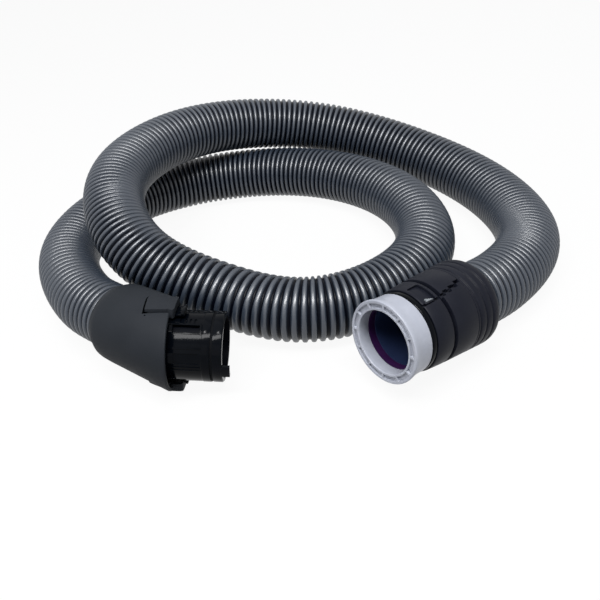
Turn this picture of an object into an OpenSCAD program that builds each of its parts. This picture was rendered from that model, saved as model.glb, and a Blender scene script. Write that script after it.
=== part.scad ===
// Vacuum cleaner suction hose: ribbed hose, bent machine connector with two
// release buttons, and a swivelling handle collar. Millimetres.

/* [Hose] */
// Outer diameter of the hose over its ribs
hose_od = 45; // [42:0.5:45.5]
// Wall of the hose from its bore to its rib tops
hose_wall = 4; // [3.2:0.1:6]
// Depth of the valleys between the ribs
rib_depth = 1.6; // [0.8:0.1:2]
// Ribs along the whole hose
rib_count = 200; // [60:1:200]

/* [Swivel sockets] */
// Radial gap between the hose and the sleeve on its end
hose_gap = 0.15; // [0.05:0.05:0.4]
// Wall of the sleeves
sleeve_wall = 1; // [0.8:0.1:1.6]
// Length of a sleeve over the hose
sleeve_len = 20; // [18:0.5:20.5]
// Thickness of a sleeve's end wall, against which the hose stops
end_wall = 1.5; // [1:0.1:2]
// Running gap between a sleeve and its bush
run_gap = 0.06; // [0.02:0.02:0.1]
// Wall of the bushes
bush_wall = 1.6; // [1.2:0.1:2]
// Length of the bushes
bush_len = 7.6; // [6:0.2:7.6]
// Distance from the hose's end to the flange's front
flange_back = 8.6; // [8:0.2:9]
// Length of the flange
flange_len = 2.4; // [1.6:0.2:2.8]
// Length of the retaining clips
clip_len = 1.6; // [1:0.2:2]
// Radial height of the retaining clips
clip_height = 1.2; // [0.8:0.1:1.3]
// Width of the slit in a retaining clip
clip_slit = 6; // [2:0.5:10]
// Free gap between parts that turn past each other
free_gap = 0.35; // [0.3:0.05:0.5]
// Radial gap where the hose enters a fitting
entry_gap = 0.6; // [0.4:0.05:1]
// Length of the ledge behind a bush
ledge_len = 6; // [4:0.5:7]

/* [Connector shell] */
// Distance from the hose's end to the connector's corner
elbow_reach = 26; // [25:0.5:30]
// Turn of the spigot to the hose, in degrees seen from above
elbow_turn = 36; // [30:0.5:38]
// Dip of the spigot in degrees
spigot_dip = 8; // [4:0.5:9]
// Roll of the release buttons about the spigot, in degrees
button_roll = 8; // [4:0.5:12]
// Wall of the shells over the bush
shell_wall = 1.8; // [1.5:0.1:2.4]
// Wall of the shells at the entry
entry_wall = 0.9; // [0.7:0.1:1.6]
// Length of the shells' round shoulder
shoulder_len = 9; // [7:0.5:11]
// Length of the shells' straight part after the shoulder
straight_len = 7; // [5:0.5:8]
// Outer diameter of the front rim
rim_od = 59.6; // [58.6:0.2:62]
// Wall of the front rim
rim_wall = 2; // [1.6:0.1:2.4]
// Radial room between the front rim and the spigot
rim_room = 5; // [4.6:0.1:5.6]
// Distance of the rim's edge in front of the corner
rim_at = 3.6; // [2:0.2:4]
// Length of the front rim
rim_len = 1.5; // [1:0.1:3]
// Thickness of the bulkhead in the shells
bulkhead_len = 2; // [1.4:0.2:3]
// Width of the bulkhead's ring under the buttons
bulkhead_web = 1.2; // [0.8:0.1:1.4]
// Depth of the bulkhead behind the corner
bulkhead_depth = 3; // [2.6:0.2:4]

/* [Spigot] */
// Length of the spigot in front of the corner
spigot_len = 36.4; // [34:0.2:40]
// Radial gap between the cage and the duct
duct_gap = 1.3; // [1:0.1:1.6]
// Wall of the duct
duct_wall = 1.5; // [1.2:0.1:1.6]
// How far the duct swells at its corner
elbow_bead = 0.5; // [0.3:0.1:0.7]
// Wall of the slotted cage round the duct
cage_wall = 1.5; // [1.2:0.1:1.6]
// How far the cage lies below the face of its solid band
cage_relief = 0.4; // [0.1:0.05:0.6]
// Start of the windows in front of the corner
window_start = 5.4; // [5:0.2:8]
// End of the windows in front of the corner
window_end = 22.8; // [20:0.2:23]
// Angle that each window spans
window_span = 17; // [10:1:22]
// Angle from the button's middle to a window's middle
window_angle = 32; // [28:1:36]
// Angle that each side panel spans
panel_span = 24; // [12:1:30]
// Depth of the side panels
panel_depth = 0.5; // [0.3:0.1:0.7]
// Start of the solid band in front of the corner
band_start = 23.6; // [23.2:0.2:25]
// Middle of the seal groove in front of the corner
seal_at = 29.6; // [28.8:0.2:30.6]
// Width of the seal
seal_len = 1.6; // [1:0.1:2]
// Depth of the seal groove
seal_depth = 1.4; // [1:0.1:1.8]
// How far the seal lies below the band's face
seal_sunk = 0.5; // [0.2:0.05:0.7]
// Length of the key in front of the spigot's end
key_len = 5; // [3:0.2:7]
// Width of the key
key_w = 9; // [6:0.5:12]
// Angle from the button's middle to the key
key_angle = 102; // [95:1:110]
// Length of the lip seal
lip_len = 2.6; // [2:0.1:3]
// Height of the lip seal
lip_height = 2.4; // [1.6:0.1:2.8]
// Thickness of the lip
lip_t = 1; // [0.8:0.1:1.4]

/* [Release buttons] */
// Width of a button
button_w = 22.4; // [18:0.2:24]
// Length of a button behind the corner
button_back = 13; // [12:0.2:14]
// Length of a button in front of the corner
button_front = 6.4; // [5:0.1:8]
// How far a button stands above the shell
button_rise = 0.8; // [0.3:0.1:1.2]
// How far a button's hood stands above the rim
hood_rise = 1.1; // [0.6:0.1:1.4]
// Gap round a button
button_gap = 1; // [0.5:0.05:1.2]
// Room under a button's edges
press_room = 1.2; // [1:0.1:1.6]
// Gap between the cage and a button's underside
lift_gap = 2.1; // [2.1:0.1:2.4]
// Width of the latch arm
arm_w = 14; // [10:0.5:16]
// End of the latch arm in front of the corner
arm_end = 12.8; // [12.4:0.2:16]
// Thickness of the latch arm
arm_t = 1.4; // [1:0.1:1.8]
// Height of the barb on the latch arm
barb_height = 1.8; // [1:0.1:2.4]
// Length of the barb
barb_len = 3.4; // [2:0.2:4]
// Distance of the pivot pin behind the corner
pin_back = 10.5; // [10:0.1:11]
// Diameter of the pivot pin
pin_d = 1.8; // [1.4:0.1:2]
// Length of the pivot pin
pin_len = 13; // [12:0.2:14]
// Wall of the knuckle round the pin
knuckle_wall = 0.8; // [0.6:0.1:0.9]
// Depth of the pin below the button's underside
pin_depth = 1.5; // [1.4:0.1:1.6]
// Width of the knuckle
knuckle_w = 8.4; // [6:0.2:9]
// Width of each lug
lug_w = 2; // [1.5:0.1:2.5]
// Length of each lug
lug_len = 4.4; // [3.6:0.2:5]
// Height of a lug above the pin
lug_rise = 1.2; // [1.1:0.05:1.25]
// Distance of the spring in front of the corner
spring_at = 3.6; // [3.4:0.1:4.4]
// Outer diameter of the springs
spring_od = 4.4; // [3:0.1:4.6]
// Wire of the springs
spring_wire = 0.6; // [0.4:0.05:0.8]

/* [Handle collar] */
// Length of the cuff behind the hose's end
cuff_back = 24; // [23.6:0.2:25]
// Diameter of the cuff
cuff_od = 58.4; // [57:0.2:60]
// Diameter of the cuff at its front
cuff_front_od = 57; // [56:0.2:58]
// Rounding of the cuff's rear edge
cuff_round = 2.4; // [1:0.1:3]
// Place of the cuff's front behind the hose's end
cuff_front = 1.8; // [1.2:0.1:2.2]
// Width of the grip grooves
grip_w = 1.2; // [0.8:0.1:1.6]
// Depth of the grip grooves
grip_depth = 0.8; // [0.4:0.1:1]
// Pitch of the grip grooves
grip_pitch = 6.6; // [5.6:0.1:7]
// First grip groove behind the cuff's front
grip_first = 1.4; // [1.2:0.1:2]
// Number of grip grooves
grip_count = 3; // [1:1:3]
// End of the collar shells in front of the hose's end
shell_end = 16.4; // [15:0.2:18]
// Diameter of the collar shells at their front
shell_front_od = 55.2; // [54.4:0.2:56]
// Turn of the seam between the collar shells, in degrees
seam_turn = 21; // [10:1:30]
// Length of the groove between the shells and the front ring
neck_len = 2.4; // [1.6:0.2:3]
// Depth of that groove
neck_depth = 1.2; // [0.8:0.1:1.6]
// End of the front ring
front_end = 32; // [31:0.2:33]
// Diameter of the front ring at its front
front_od = 52.8; // [52:0.2:54]
// Length of the lip ring
lip_ring_len = 4; // [3:0.2:5]
// Diameter of the lip ring
lip_ring_od = 51.4; // [50.8:0.2:52]
// Outer diameter of the core
core_od = 45; // [44.6:0.2:46]
// Bore of the core
core_bore = 38.4; // [37:0.2:39]
// Length of the core's seal
core_seal_len = 2.4; // [1.6:0.1:3]

/* [Bearing ring] */
// Length of the bearing ring
bearing_len = 15.2; // [14:0.2:17]
// Diameter of the bearing ring at its rear
bearing_od = 50.8; // [50:0.2:51.2]
// Diameter of the bearing ring at its face
face_od = 53.2; // [52.4:0.2:54]
// Length of the flare behind the face
flare_len = 7; // [5:0.5:8]
// Straight length of the flare's edge
flare_edge = 1.4; // [1:0.1:2]
// Bore at the mouth
mouth_bore = 40.6; // [40:0.2:41]
// Depth of the mouth's bore
mouth_depth = 8; // [7:0.2:9]
// Wall between the bore and the pockets
inner_wall = 1.5; // [1.2:0.1:1.8]
// Wall outside the pockets
outer_wall = 2; // [1.6:0.1:2.2]
// Depth of the pockets
pocket_depth = 6; // [4:0.2:6.4]
// Number of pockets
pocket_count = 12; // [8:1:16]
// Thickness of the webs between the pockets
web_t = 1.2; // [0.8:0.1:1.6]
// Length of the liner behind the mouth's bore
liner_len = 5; // [4:0.2:6]
// Bore of the liner
liner_bore = 39.4; // [39:0.1:39.8]

/* [Catch] */
// Width of the catch
catch_w = 15; // [10:0.5:17]
// Length of the catch
catch_len = 8; // [6:0.2:8.6]
// Middle of the catch in front of the hose's end
catch_at = 25.6; // [25.4:0.1:26]
// Turn of the catch about the collar, in degrees
catch_turn = 8; // [4:1:12]
// Thickness of the catch
catch_t = 1.9; // [1.6:0.1:2]
// Gap round the catch
catch_gap = 0.4; // [0.3:0.05:0.6]
// Travel of the catch
catch_travel = 1.2; // [0.8:0.1:1.3]
// Gap left under the pressed catch
catch_rest = 0.4; // [0.3:0.05:0.5]

/* [Hidden] */
$fn = 96;

// Place of the layout over the floor, so that the fittings stand on the origin
place_x = 9.3;
place_y = 42.6;

// Route of the hose's centre line, from the connector to the handle collar.
// Heights are above the centre line of a hose that lies on the floor.
route = [
    [-106, -22.5, 9],
    [-122, -8, 9],
    [-138, 6.5, 9],
    [-154, 21, 9],
    [-188, 90, 8],
    [-160, 166, 9],
    [-103, 212, 0],
    [-37, 216, 0],
    [25, 198, 2],
    [76, 161, 1],
    [105, 105, 2],
    [105, 40, 0],
    [60, -6, 0],
    [-1, -21, 1],
    [-55, 14, 3],
    [-112, 31, 30],
    [-133, 77, 58],
    [-125, 145, 58],
    [-82, 205, 54],
    [-15, 235, 42],
    [60, 230, 27],
    [129, 189, 8],
    [176, 120, 0],
    [183, 32, 0],
    [139, -10.5, 1],
    [121.5, -22.5, 4],
    [104, -34.5, 7],
    [86.5, -46.5, 10]];

sides = 8;
bore_rings = 72;
web_turn = 2;
web_drop = 0.4;
web_root = 0.4;
span_steps = 16;
gap_step = 10;
gap_skip = 2.5;
facets = 32;
thin = 0.01;
blend = 0.1;
past = 1;

hose_r = hose_od / 2;
hose_bore_r = hose_r - hose_wall;
sleeve_bore = hose_r + hose_gap;
journal_r = sleeve_bore + sleeve_wall;
bush_bore = journal_r + run_gap;
bush_r = bush_bore + bush_wall;
flange_r = bush_r - free_gap;
front_bore = journal_r + free_gap;
entry_r = hose_r + entry_gap;
flange_rear = -flange_back - flange_len;
bush_front = flange_rear - free_gap;
bush_rear = bush_front - bush_len;
clip_rear = -flange_back + free_gap;
clip_front = clip_rear + clip_len;
entry_x = bush_rear - ledge_len;
ledge_x = -sleeve_len - free_gap;

shoulder_r = bush_r + shell_wall;
shoulder_x = entry_x + shoulder_len;
straight_x = shoulder_x + straight_len;
rim_r = rim_od / 2;
rim_bore = rim_r - rim_wall;
rim_rear = rim_at - rim_len;
spigot_r = rim_bore - rim_room;
cage_r = spigot_r - cage_relief;
cage_bore = spigot_r - cage_wall;
cage_rear = -bulkhead_depth - bulkhead_len;
groove_r = spigot_r - seal_depth;
seal_rear = seal_at - seal_len / 2;
seal_front = seal_at + seal_len / 2;
duct_r = cage_bore - duct_gap;
duct_bore_r = duct_r - duct_wall;
duct_start = end_wall + free_gap + lip_t;
lip_end = duct_start + lip_len;
lip_r = duct_r + lip_height;
seal_room_r = max(front_bore, lip_r + free_gap);
skin_r = spigot_r + lift_gap;
hood_r = rim_r + hood_rise;
pin_h = skin_r - pin_depth;
knuckle_r = pin_d / 2 + knuckle_wall;
spring_top_h = sqrt(pow(skin_r, 2) - pow(spring_od / 2, 2));

cuff_r = cuff_od / 2;
cuff_front_r = cuff_front_od / 2;
shell_front_r = shell_front_od / 2;
core_r = core_od / 2;
core_bore_r = core_bore / 2;
core_seal_x = end_wall + free_gap;
core_x = core_seal_x + core_seal_len;
ring_x = shell_end + neck_len;
front_r = front_od / 2;
neck_r = shell_front_r - neck_depth;
lip_x = front_end + lip_ring_len;
face_x = lip_x + bearing_len;
mouth_x = face_x - mouth_depth;
liner_x = mouth_x - liner_len;
pocket_in = mouth_bore / 2 + inner_wall;
pocket_out = face_od / 2 - outer_wall;
catch_under = core_r + catch_rest + catch_travel;
catch_r = catch_under + catch_t;

first = route[0];
last = route[len(route) - 1];
inlet_dir = route[0] - route[1];
handle_dir = last - route[len(route) - 2];
inlet_az = atan2(inlet_dir[1], inlet_dir[0]);
handle_az = atan2(handle_dir[1], handle_dir[0]);
handle_rise = atan2(handle_dir[2], norm([handle_dir[0], handle_dir[1]]));

// ---- the hose's curve ----

spans = len(route) - 1;
ext = concat([2 * route[0] - route[1]], route, [2 * last - route[spans - 1]]);

function curve(u) =
    let (k = min(floor(u), spans - 1), t = u - k)
    (pow(1 - t, 3) * ext[k] + (3 * pow(t, 3) - 6 * t * t + 4) * ext[k + 1]
        + (-3 * pow(t, 3) + 3 * t * t + 3 * t + 1) * ext[k + 2]
        + pow(t, 3) * ext[k + 3]) / 6;

fine = [for (i = [0 : spans * span_steps]) curve(i / span_steps)];
arc = [for (i = 0, s = 0; i < len(fine);
    s = s + (i + 1 < len(fine) ? norm(fine[i + 1] - fine[i]) : 0), i = i + 1) [s, i / span_steps]];
hose_len = arc[len(arc) - 1][0];

function spot(s) = curve(lookup(s, arc));
function unit(v) = v / norm(v);
function heading(s) =
    s < hose_r ? unit(route[1] - route[0])
    : s > hose_len - hose_r ? unit(last - route[spans - 1])
    : unit(spot(s + thin) - spot(s - thin));
function loop_at(s, r) =
    let (c = spot(s), t = heading(s), a = unit(cross(t, [0, 0, 1])), b = cross(a, t))
    [for (k = [0 : sides - 1]) c + r * (cos(k * 360 / sides) * a + sin(k * 360 / sides) * b)];

outer_rings = 2 * rib_count + 1;
function quads(base, rings, flip) =
    [for (j = [0 : rings - 2], k = [0 : sides - 1])
        let (n = (k + 1) % sides, p = base + j * sides, q = p + sides)
        each (flip ? [[p + k, p + n, q + n], [p + k, q + n, q + k]]
            : [[p + k, q + n, p + n], [p + k, q + k, q + n]])];
function annulus(outer, inner, flip) =
    [for (k = [0 : sides - 1])
        let (n = (k + 1) % sides)
        each (flip ? [[outer + k, inner + k, inner + n], [outer + k, inner + n, outer + n]]
            : [[outer + k, inner + n, inner + k], [outer + k, outer + n, inner + n]])];

gap_count = floor(hose_len / gap_step);
gap_points = [for (i = [0 : gap_count]) spot(i * hose_len / gap_count)];
least_gap = min([for (i = [0 : gap_count], j = [i : gap_count])
    if ((j - i) * gap_step > gap_skip * hose_od) norm(gap_points[i] - gap_points[j]) - hose_od]);
echo(str("hose length mm ", hose_len));
echo(str("least gap of the hose to itself mm ", least_gap));

// ---- frames ----

module layout() {
    translate([place_x, place_y, hose_r]) children();
}

module inlet() {
    layout() translate(first) rotate([0, 0, inlet_az]) children();
}

module spigot(roll = 0) {
    inlet() translate([elbow_reach, 0, 0]) rotate([0, 0, elbow_turn])
        rotate([0, spigot_dip, 0]) rotate([roll, 0, 0]) children();
}

module handle() {
    layout() translate(last) rotate([0, 0, handle_az]) rotate([0, -handle_rise, 0]) children();
}

module turned(points) {
    rotate([0, 90, 0]) rotate_extrude() polygon(points);
}

module tube(from, to, inner, outer) {
    turned([[inner, from], [outer, from], [outer, to], [inner, to]]);
}

module rod(from, to, r, fn = $fn) {
    translate([from, 0, 0]) rotate([0, 90, 0]) cylinder(h = to - from, r = r, $fn = fn);
}

// A rod with flat sides, for the blends between the two axes
module disc(from, to, r) {
    rotate([180 / facets, 0, 0]) rod(from, to, r, facets);
}

module block(from, to, w, low, high) {
    translate([from, -w / 2, low]) cube([to - from, w, high - low]);
}

// ---- hose ----

module hose() {
    color("dimgray") layout()
        polyhedron(
            points = concat(
                [for (j = [0 : outer_rings - 1]) each loop_at(j * hose_len / (outer_rings - 1),
                    j % 2 == 0 ? hose_r - rib_depth : hose_r)],
                [for (j = [0 : bore_rings - 1]) each loop_at(j * hose_len / (bore_rings - 1),
                    hose_bore_r)]),
            faces = concat(
                quads(0, outer_rings, false),
                quads(outer_rings * sides, bore_rings, true),
                annulus(0, outer_rings * sides, false),
                annulus((outer_rings - 1) * sides,
                    (outer_rings + bore_rings - 1) * sides, true)));
}

// ---- sockets, the same at both ends ----

module sleeve() {
    turned([[sleeve_bore, -sleeve_len], [journal_r, -sleeve_len], [journal_r, flange_rear],
        [flange_r, flange_rear], [flange_r, -flange_back], [journal_r, -flange_back],
        [journal_r, end_wall], [hose_bore_r, end_wall], [hose_bore_r, 0], [sleeve_bore, 0]]);
}

module bush() {
    tube(bush_rear, bush_front, bush_bore, bush_r);
}

module clip() {
    difference() {
        tube(clip_rear, clip_front, bush_r - clip_height, bush_r);
        block(clip_rear - past, clip_front + past, clip_slit, -bush_r - past, 0);
    }
}

module socket_cut() {
    turned([[0, entry_x - past], [entry_r, entry_x - past], [entry_r, ledge_x],
        [front_bore, ledge_x], [front_bore, bush_rear], [bush_r, bush_rear],
        [bush_r, clip_front], [0, clip_front]]);
}

module machine_sleeve() {
    color("silver") inlet() sleeve();
}

module handle_sleeve() {
    color("silver") handle() sleeve();
}

module machine_bush() {
    color("ivory") inlet() bush();
}

module handle_bush() {
    color("ivory") handle() bush();
}

module machine_clip() {
    color("gray") inlet() clip();
}

module handle_clip() {
    color("gray") handle() clip();
}

// ---- connector ----

module shell_solid(extra) {
    hull() {
        inlet() disc(entry_x, entry_x + thin, entry_r + entry_wall);
        inlet() disc(shoulder_x - shoulder_len / 2, shoulder_x - shoulder_len / 2 + thin,
            shoulder_r - entry_wall);
        inlet() disc(shoulder_x, straight_x, shoulder_r + extra);
        spigot() disc(rim_rear, rim_at, rim_r + extra);
    }
}

module shell_hollow() {
    hull() {
        inlet() disc(clip_front - past, end_wall, front_bore);
        inlet() disc(end_wall, lip_end, seal_room_r);
        spigot() disc(rim_rear, rim_at + past, rim_bore);
    }
}

module button_windows(gap, low) {
    for (side = [0, 180])
        spigot(side - button_roll)
            block(-button_back - gap, button_front + past, button_w + 2 * gap, low, rim_od);
}

module shells() {
    difference() {
        shell_solid(0);
        shell_hollow();
        inlet() socket_cut();
        button_windows(button_gap, spigot_r - press_room);
        for (side = [0, 180]) spigot(side - button_roll) lug_pocket(rim_r);
    }
}

// The space round both lugs, up to the height given
module lug_pocket(high) {
    block(-pin_back - lug_len / 2 - free_gap, -pin_back + lug_len / 2 + free_gap,
        knuckle_w + 2 * lug_w + 3 * free_gap, duct_bore_r, high);
}

module half(up) {
    inlet() translate([-rim_od, -rim_od * 2, up ? 0 : -rim_od])
        cube([rim_od * 3, rim_od * 4, rim_od]);
}

module shell_upper() {
    color("darkslategray") intersection() {
        shells();
        half(true);
    }
}

module shell_lower() {
    color("slategray") intersection() {
        shells();
        half(false);
    }
}

module duct_outside() {
    inlet() rod(duct_start, elbow_reach, duct_r);
    spigot() rod(0, spigot_len, duct_r);
    spigot() sphere(r = duct_r + elbow_bead);
}

module duct() {
    color("teal") difference() {
        union() {
            duct_outside();
            for (side = [0, 180], w = [-1, 1])
                spigot(side - button_roll)
                    translate([0, w * (knuckle_w + lug_w + free_gap) / 2, 0])
                        block(-pin_back - lug_len / 2, -pin_back + lug_len / 2, lug_w, 0,
                            pin_h + lug_rise);
        }
        inlet() rod(duct_start - past, elbow_reach, duct_bore_r);
        spigot() rod(0, spigot_len + past, duct_bore_r);
        spigot() sphere(r = duct_bore_r + elbow_bead);
        for (side = [0, 180]) spigot(side - button_roll) pin_rod(0);
    }
}

module bulkhead() {
    color("dimgray") difference() {
        intersection() {
            shell_hollow();
            spigot() rod(cage_rear, -bulkhead_depth, rim_r);
        }
        spigot() rod(-rim_od, past, cage_r);
        inlet() rod(0, lip_end, lip_r);
        inlet() rod(0, elbow_reach, duct_r);
        difference() {
            button_windows(button_gap, spigot_r - press_room);
            spigot() rod(-rim_od, button_front + 2 * past, cage_r + bulkhead_web);
        }
    }
}

module spigot_cage() {
    color("black") difference() {
        spigot() union() {
            turned([[cage_bore, cage_rear], [cage_r, cage_rear], [cage_r, band_start],
                [spigot_r, band_start], [spigot_r, seal_rear], [groove_r, seal_rear],
                [groove_r, seal_front], [cage_r, seal_front], [cage_r, spigot_len],
                [duct_r, spigot_len], [duct_r, band_start], [cage_bore, band_start]]);
            rotate([key_angle - button_roll, 0, 0]) key();
        }
        inlet() rod(0, elbow_reach, duct_r);
        for (side = [0, 180], a = [-1, 1])
            spigot(side - button_roll + a * window_angle)
                wedge(window_start, window_end, window_span, cage_bore - cage_wall, spigot_r + past);
        for (side = [90, 270])
            spigot(side - button_roll)
                wedge(window_start, window_end, panel_span, cage_r - panel_depth, spigot_r + past);
        for (side = [0, 180])
            spigot(side - button_roll) translate([spring_at, 0, 0])
                cylinder(h = skin_r, r = spring_od / 2 + free_gap);
    }
}

// A sector of a ring, square-ended, of the given angle
module wedge(from, to, angle, low, high) {
    intersection() {
        tube(from, to, low, high);
        rotate([angle / 2, 0, 0]) translate([from, 0, 0]) cube([to - from, high * 2, high * 2]);
        rotate([-angle / 2, 0, 0]) translate([from, -high * 2, 0])
            cube([to - from, high * 2, high * 2]);
    }
}

module key() {
    intersection() {
        tube(spigot_len - past, spigot_len + key_len, duct_r + blend, cage_r - blend);
        block(spigot_len - past, spigot_len + key_len, key_w, 0, rim_r);
    }
}

module spigot_seal() {
    color("orange") spigot()
        tube(seal_rear, seal_front, groove_r, spigot_r - seal_sunk);
}

module machine_seal() {
    color("orange") inlet() turned([[duct_r, duct_start - lip_t],
        [duct_r + lip_t, duct_start - lip_t], [lip_r, duct_start], [lip_r, lip_end],
        [duct_r, lip_end]]);
}

// ---- release buttons ----

module pin_rod(gap) {
    translate([-pin_back, -pin_len / 2, pin_h]) rotate([-90, 0, 0])
        cylinder(h = pin_len, r = pin_d / 2 + gap);
}

module button(side) {
    difference() {
        union() {
            intersection() {
                union() {
                    shell_solid(button_rise);
                    spigot() rod(rim_rear - past, button_front, hood_r);
                }
                spigot(side - button_roll)
                    block(-button_back, button_front, button_w, spigot_r, rim_od);
            }
            spigot(side - button_roll) block(-pin_back - knuckle_r + blend,
                -pin_back + knuckle_r - blend, knuckle_w, pin_h, skin_r + past);
            spigot(side - button_roll) translate([-pin_back, -knuckle_w / 2, pin_h])
                rotate([-90, 0, 0]) cylinder(h = knuckle_w, r = knuckle_r);
            spigot(side - button_roll) arm();
        }
        difference() {
            spigot() rod(-rim_od / 2, button_front + past, skin_r);
            spigot(side - button_roll) block(-pin_back - knuckle_r, -pin_back + knuckle_r,
                knuckle_w, 0, skin_r + past);
        }
        spigot(side - button_roll) difference() {
            lug_pocket(pin_h + lug_rise + free_gap);
            block(-pin_back - lug_len, -pin_back + lug_len, knuckle_w, 0, rim_r);
        }
        spigot(side - button_roll) pin_rod(run_gap);
    }
}

module arm() {
    intersection() {
        tube(button_front - past, arm_end, skin_r, skin_r + arm_t);
        block(button_front - past, arm_end, arm_w, 0, rim_od);
    }
    intersection() {
        turned([[skin_r, arm_end - barb_len], [skin_r + arm_t + barb_height, arm_end - barb_len],
            [skin_r + arm_t, arm_end], [skin_r, arm_end]]);
        block(arm_end - barb_len, arm_end, arm_w, 0, rim_od);
    }
}

module spring(from, to) {
    translate([0, 0, from]) difference() {
        cylinder(h = to - from, r = spring_od / 2);
        translate([0, 0, -past]) cylinder(h = to - from + 2 * past, r = spring_od / 2 - spring_wire);
    }
}

module button_spring(side) {
    spigot(side - button_roll) translate([spring_at, 0, 0])
        spring(duct_r + elbow_bead, spring_top_h);
}

module button_top() {
    color("steelblue") button(0);
}

module button_bottom() {
    color("steelblue") button(180);
}

module spring_top() {
    color("gold") button_spring(0);
}

module spring_bottom() {
    color("gold") button_spring(180);
}

module pin_top() {
    color("red") spigot(-button_roll) pin_rod(0);
}

module pin_bottom() {
    color("red") spigot(180 - button_roll) pin_rod(0);
}

// ---- handle collar ----

module grip_cuff() {
    color("darkslategray") handle() difference() {
        turned([[0, -cuff_back], [cuff_r - cuff_round, -cuff_back],
            [cuff_r - cuff_round * (1 - sin(45)), -cuff_back + cuff_round * (1 - sin(45))],
            [cuff_r, -cuff_back + cuff_round], [cuff_front_r, -cuff_front], [0, -cuff_front]]);
        socket_cut();
        rod(clip_front - past, 0, front_bore);
        for (i = [0 : grip_count - 1])
            let (x = -cuff_front - grip_first - i * grip_pitch)
            tube(x - grip_w, x, grip_r(x) - grip_depth, cuff_od);
    }
}

// Radius of the cuff at x
function grip_r(x) = cuff_front_r + (cuff_r - cuff_front_r) * (-x - cuff_front)
    / (cuff_back - cuff_round - cuff_front);

module collar() {
    turned([[front_bore, -cuff_front], [cuff_front_r, -cuff_front], [shell_front_r, shell_end],
        [core_r, shell_end], [core_r, core_seal_x], [front_bore, core_seal_x]]);
}

module seam_half(turn) {
    rotate([turn - seam_turn, 0, 0]) translate([-cuff_od, 0, -cuff_od])
        cube([cuff_od * 2, cuff_od, cuff_od * 2]);
}

module collar_left() {
    color("steelblue") handle() intersection() {
        collar();
        seam_half(0);
    }
}

module collar_right() {
    color("slategray") handle() intersection() {
        collar();
        seam_half(180);
    }
}

module core() {
    color("teal") handle() tube(core_x, liner_x, core_bore_r, core_r);
}

module handle_seal() {
    color("orange") handle() tube(core_seal_x, core_x, core_bore_r, core_r);
}

module front_ring() {
    color("dimgray") handle() difference() {
        turned([[core_r, shell_end], [neck_r, shell_end], [neck_r, ring_x],
            [shell_front_r, ring_x], [front_r, front_end], [core_r, front_end]]);
        rotate([-catch_turn, 0, 0]) block(catch_at - catch_len / 2 - catch_gap,
            catch_at + catch_len / 2 + catch_gap, catch_w + 2 * catch_gap, 0, cuff_od);
    }
}

module lip_ring() {
    color("black") handle() tube(front_end, lip_x, core_r, lip_ring_od / 2);
}

module bearing_ring() {
    color("white") handle() union() {
        turned([[core_r, lip_x], [bearing_od / 2, lip_x], [bearing_od / 2, face_x - flare_len],
            [face_od / 2, face_x - flare_edge], [face_od / 2, face_x], [pocket_out, face_x],
            [pocket_out, face_x - pocket_depth], [pocket_in, face_x - pocket_depth],
            [pocket_in, face_x], [mouth_bore / 2, face_x], [mouth_bore / 2, mouth_x],
            [core_r, mouth_x]]);
        for (i = [0 : pocket_count - 1])
            rotate([i * 360 / pocket_count - catch_turn + web_turn, 0, 0])
                block(face_x - pocket_depth - past, face_x - web_drop, web_t,
                    pocket_in - web_root, pocket_out + web_root);
    }
}

module liner() {
    color("purple") handle() tube(liner_x, mouth_x, liner_bore / 2, core_r);
}

module catch() {
    color("lightgray") handle() intersection() {
        rotate([-catch_turn, 0, 0]) block(catch_at - catch_len / 2, catch_at + catch_len / 2,
            catch_w, catch_under, cuff_od);
        rod(catch_at - catch_len, catch_at + catch_len, catch_r);
    }
}

module catch_spring() {
    color("gold") handle() rotate([-catch_turn, 0, 0]) translate([catch_at, 0, 0])
        spring(core_r, catch_under);
}

hose();
machine_sleeve();
handle_sleeve();
shell_upper();
shell_lower();
duct();
spigot_cage();
spigot_seal();
machine_bush();
machine_clip();
machine_seal();
bulkhead();
button_top();
button_bottom();
spring_top();
spring_bottom();
pin_top();
pin_bottom();
grip_cuff();
collar_left();
collar_right();
core();
front_ring();
lip_ring();
bearing_ring();
liner();
handle_bush();
handle_clip();
handle_seal();
catch();
catch_spring();
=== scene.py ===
"""Suction hose of a canister vacuum cleaner: ribbed hose, machine connector and handle collar."""
from math import cos, pi, radians, sin, sqrt

import bmesh
import bpy
import numpy as np
from mathutils import Matrix, Vector


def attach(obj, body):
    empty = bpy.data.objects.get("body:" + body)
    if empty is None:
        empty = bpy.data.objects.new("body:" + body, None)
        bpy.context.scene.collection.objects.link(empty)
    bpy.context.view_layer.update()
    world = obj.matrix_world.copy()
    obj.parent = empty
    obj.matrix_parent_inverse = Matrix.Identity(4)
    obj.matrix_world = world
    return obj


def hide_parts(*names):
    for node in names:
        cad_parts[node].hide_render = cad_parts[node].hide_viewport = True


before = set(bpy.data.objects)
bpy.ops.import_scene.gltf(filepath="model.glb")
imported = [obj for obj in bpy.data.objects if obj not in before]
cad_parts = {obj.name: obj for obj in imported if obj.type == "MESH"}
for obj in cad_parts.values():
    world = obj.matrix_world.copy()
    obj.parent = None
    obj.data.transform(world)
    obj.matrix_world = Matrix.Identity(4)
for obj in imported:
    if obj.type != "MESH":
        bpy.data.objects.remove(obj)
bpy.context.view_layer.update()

MM = 0.001
# corners of a round outline, and the distance in metres at which two corners are one
ROUND = 128
SAME = 1e-7

# ---- places, in metres, as in the part's source ----

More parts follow.
